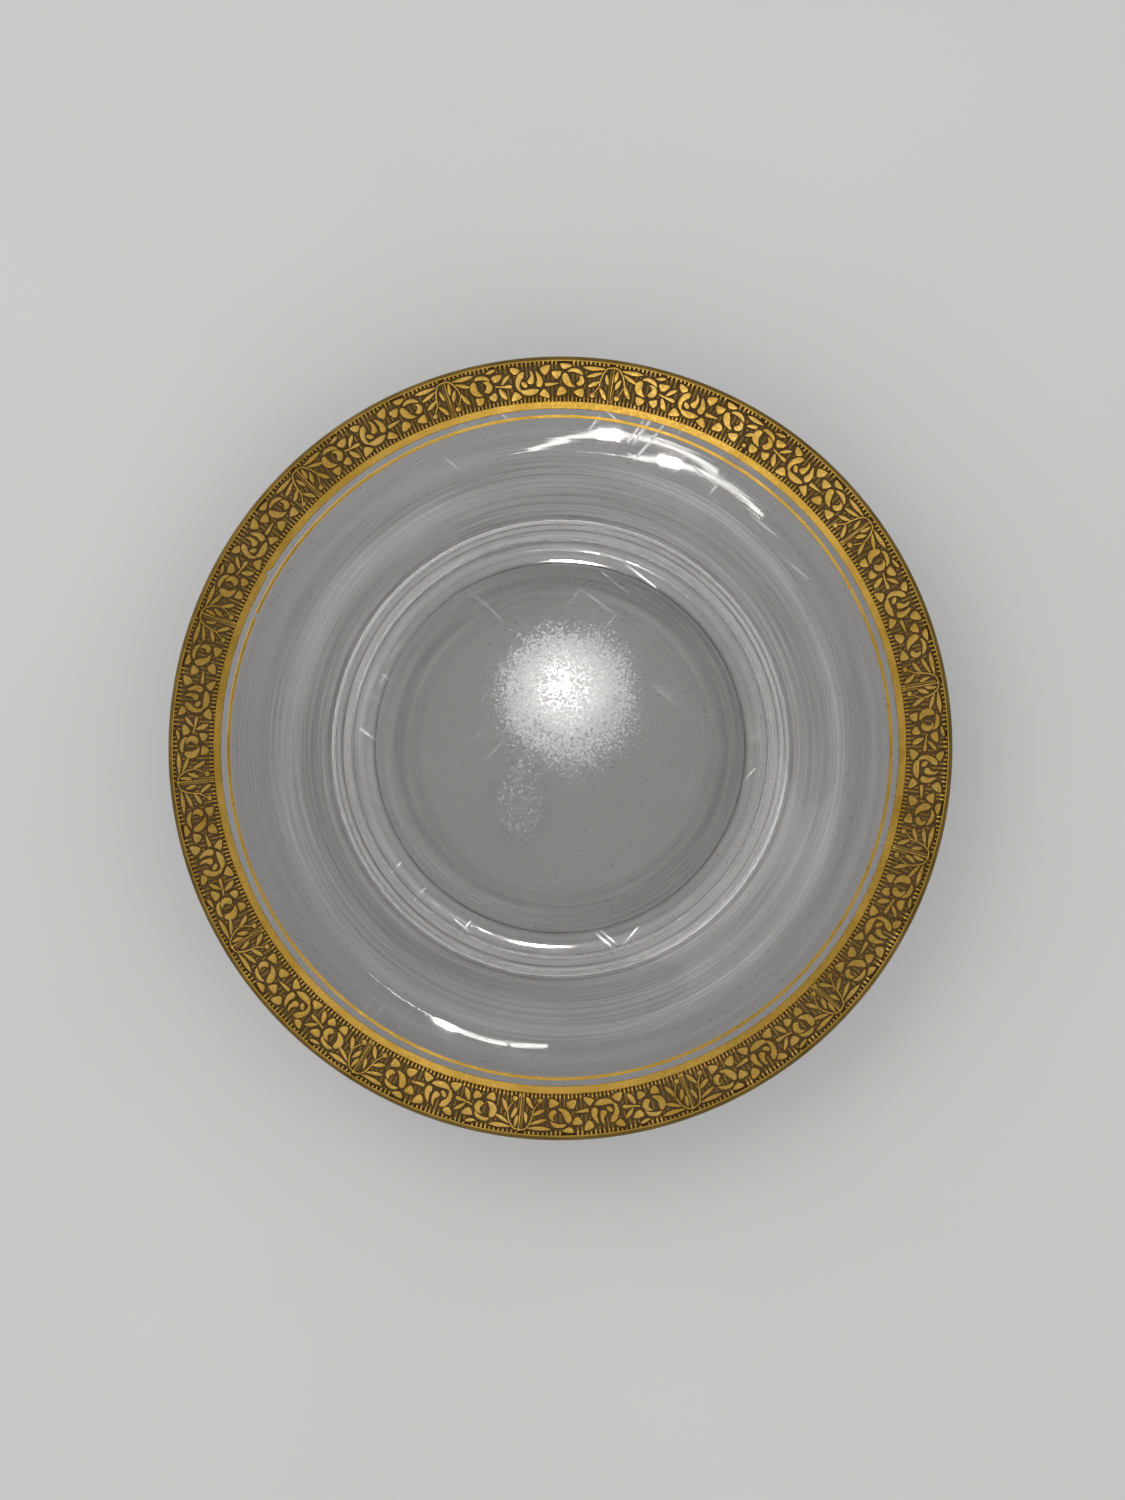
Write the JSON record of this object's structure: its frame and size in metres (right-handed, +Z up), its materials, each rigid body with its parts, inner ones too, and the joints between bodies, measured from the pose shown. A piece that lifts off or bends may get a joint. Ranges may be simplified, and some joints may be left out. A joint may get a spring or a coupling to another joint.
{
  "type": "glass plate",
  "caption": "Shallow round glass plate with a deep well, a foot ring and a wide rim banded in etched gold flowers between plain gold lines.",
  "frame": {"origin": "centre of the foot ring's resting face", "axes": "+Z up along the plate's axis of symmetry; the plate is round, so X and Y are interchangeable but for the band's pattern"},
  "size_m": [0.203, 0.203, 0.0265],
  "materials": {
    "clear_glass": "clear polished glass, faintly grey, with fine concentric tool marks",
    "etched_gold": "fired gold over acid-etched relief: dark matt ground, bright worn motifs",
    "plain_gold": "plain fired gold, softly burnished, a little worn"
  },
  "bodies": {
    "root": {"glass_plate": "clear_glass", "gold_lip_edge": "plain_gold", "etched_gold_band": "etched_gold", "gold_inner_border": "plain_gold", "gold_hairline": "plain_gold"}
  },
  "joints": []
}
